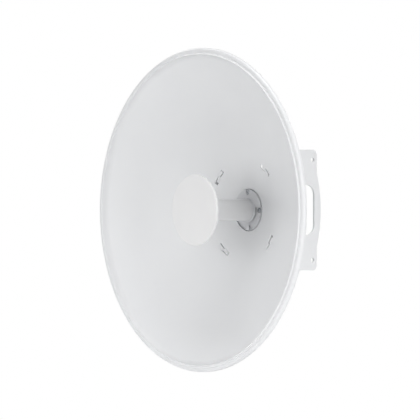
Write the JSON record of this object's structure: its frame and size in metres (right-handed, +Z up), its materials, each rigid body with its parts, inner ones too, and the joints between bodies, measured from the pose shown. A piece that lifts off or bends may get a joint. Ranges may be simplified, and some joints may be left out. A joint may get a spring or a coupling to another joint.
{
  "type": "dish antenna",
  "caption": "White point-to-point dish antenna: rolled-rim reflector, central feed tube with a flat sub-reflector cap, and a two-plate rear bracket with handle slots.",
  "frame": {"origin": "on the antenna's axis, at the centre of the flat rear face of the clamp pad on the bracket's web, where a pole clamp bolts on", "axes": "-Y is the beam direction, out of the dish's mouth; +Z is up; +X is to the right as seen from the front"},
  "size_m": [0.65, 0.2485, 0.65],
  "materials": {
    "white_powder_coat": "satin powder coat",
    "white_plastic": "fine moulded matte",
    "painted_casting": "satin paint on a casting",
    "zinc_plated_steel": "dull zinc plating",
    "aluminium": "turned",
    "black_rubber": "matte",
    "nickel_plated_brass": "satin nickel"
  },
  "bodies": {
    "root": {"reflector": "white_powder_coat", "feed_flange": "painted_casting", "feed_screw_1": "zinc_plated_steel", "feed_screw_2": "zinc_plated_steel", "feed_screw_3": "zinc_plated_steel", "feed_screw_4": "zinc_plated_steel", "feed_tube": "white_plastic", "subreflector": "aluminium", "subreflector_cover": "white_plastic", "feed_hub": "painted_casting", "feed_seal": "black_rubber", "locking_lug_1": "white_powder_coat", "locking_lug_2": "white_powder_coat", "locking_lug_3": "white_powder_coat", "locking_lug_4": "white_powder_coat", "lug_screw_1": "zinc_plated_steel", "lug_screw_2": "zinc_plated_steel", "lug_screw_3": "zinc_plated_steel", "lug_screw_4": "zinc_plated_steel", "bracket_web": "white_powder_coat", "side_plate_left": "white_powder_coat", "side_plate_right": "white_powder_coat", "side_bolt_1": "zinc_plated_steel", "side_bolt_2": "zinc_plated_steel", "side_bolt_3": "zinc_plated_steel", "side_bolt_4": "zinc_plated_steel", "side_nut_1": "zinc_plated_steel", "side_nut_2": "zinc_plated_steel", "side_nut_3": "zinc_plated_steel", "side_nut_4": "zinc_plated_steel", "hub_screw_1": "zinc_plated_steel", "hub_screw_2": "zinc_plated_steel", "hub_screw_3": "zinc_plated_steel", "hub_screw_4": "zinc_plated_steel", "rf_connector_left": "nickel_plated_brass", "rf_connector_right": "nickel_plated_brass", "rf_nut_left": "nickel_plated_brass", "rf_nut_right": "nickel_plated_brass"}
  },
  "joints": []
}
